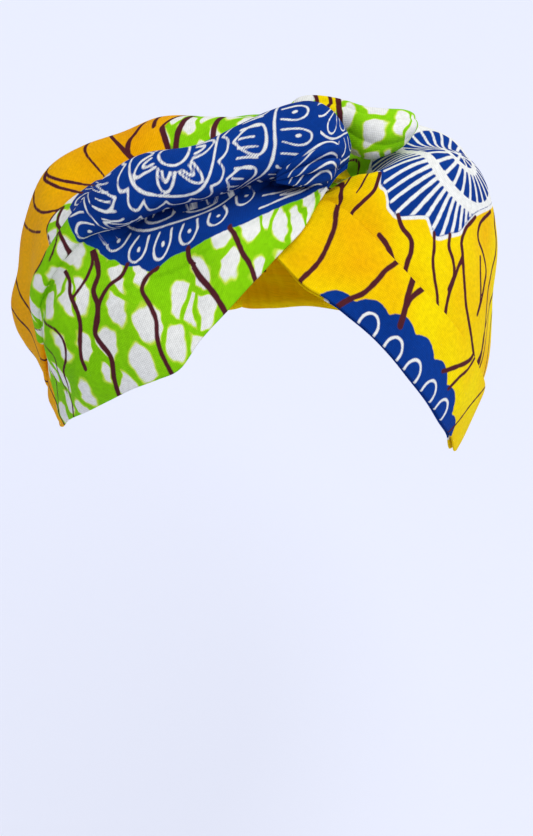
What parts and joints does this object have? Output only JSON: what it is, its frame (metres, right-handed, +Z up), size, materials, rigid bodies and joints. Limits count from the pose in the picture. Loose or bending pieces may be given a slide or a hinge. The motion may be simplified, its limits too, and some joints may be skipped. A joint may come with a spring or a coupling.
{
  "type": "turban",
  "caption": "Pre-tied turban of printed cotton: two gathered panels crossed in a knot over the brow, a soft bag behind, hollow for a head.",
  "frame": {"origin": "highest point of the head inside, under the crossed panels", "axes": "+Z up, -Y the way the face looks, +X toward the wearer's left, which is the right of the picture"},
  "size_m": [0.1852, 0.1786, 0.1557],
  "materials": {
    "cotton_blue": "matt woven wax-print cotton, blue with white lines, green and white below",
    "cotton_yellow": "matt woven wax-print cotton, yellow with brown veins and blue motifs",
    "cotton_green": "matt woven wax-print cotton, green and white cells with brown veins"
  },
  "bodies": {
    "root": {"left_wrap": "cotton_blue", "right_wrap": "cotton_yellow", "right_hem_band": "cotton_yellow", "crown_bag": "cotton_yellow", "knot_lobe": "cotton_green", "knot_pleats": "cotton_blue"}
  },
  "joints": []
}
